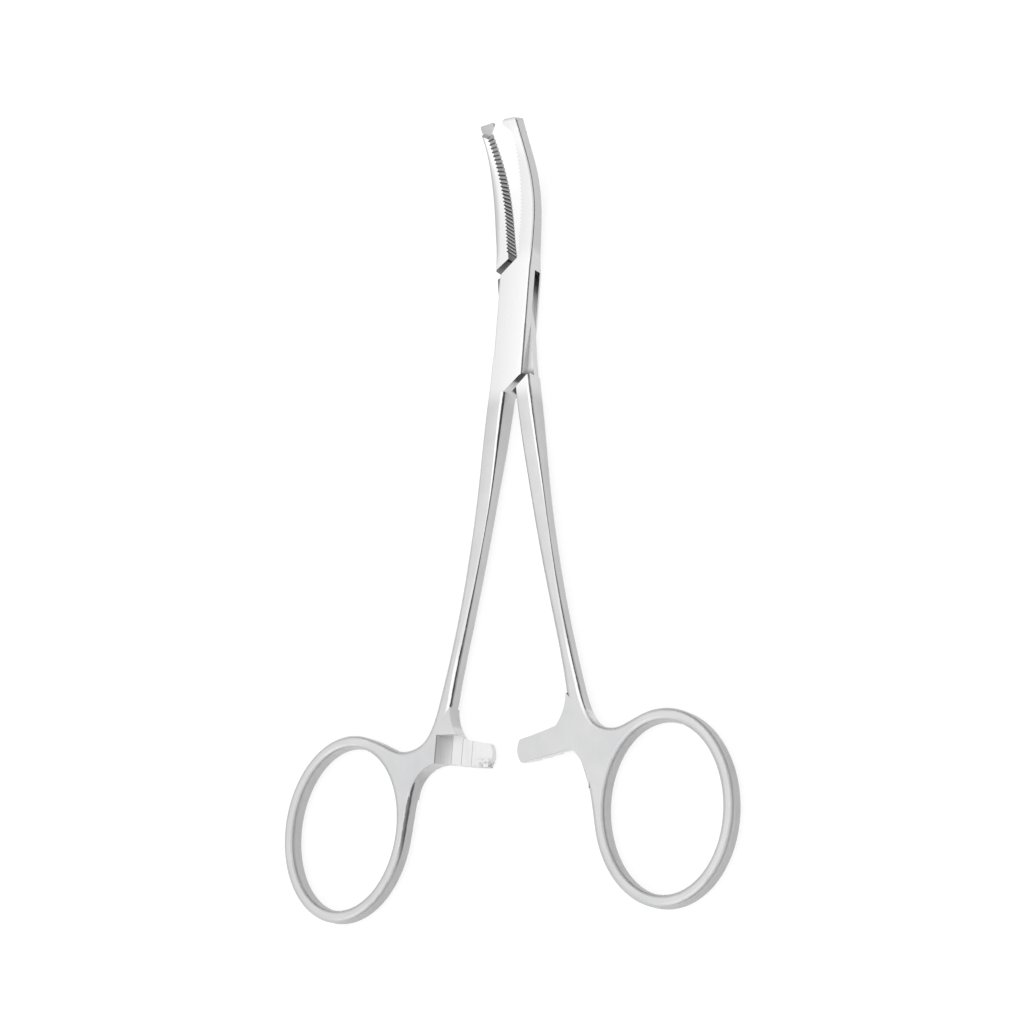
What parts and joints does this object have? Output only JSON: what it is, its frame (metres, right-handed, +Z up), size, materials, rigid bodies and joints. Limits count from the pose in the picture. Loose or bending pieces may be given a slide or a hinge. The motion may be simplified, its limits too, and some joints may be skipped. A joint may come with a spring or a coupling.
{
  "type": "hemostat forceps",
  "caption": "Curved box-lock haemostatic forceps with cross-grooved jaws that end in interlocking teeth, slender shanks, a stepped ratchet catch and oval finger rings",
  "frame": {"origin": "on the pivot axis, at the underside of the box joint, where the forceps rest", "axes": "+Y towards the jaw tips along the bisector of the two halves, +Z up out of the ring plane, the way the jaws curve, +X to the right when the tips point away"},
  "size_m": [0.079, 0.1264, 0.0098],
  "materials": {
    "satin_steel": "fine satin ground"
  },
  "bodies": {
    "female": {"female_half": "satin_steel", "joint_pin": "satin_steel"},
    "male": {"male_half": "satin_steel"}
  },
  "joints": [
    {"name": "box_joint", "type": "hinge", "parent": "female", "child": "male", "pos_m": [0, 0, 0.00195], "axis": [0, 0, 1], "range_deg": [-7.5, 45]}
  ]
}
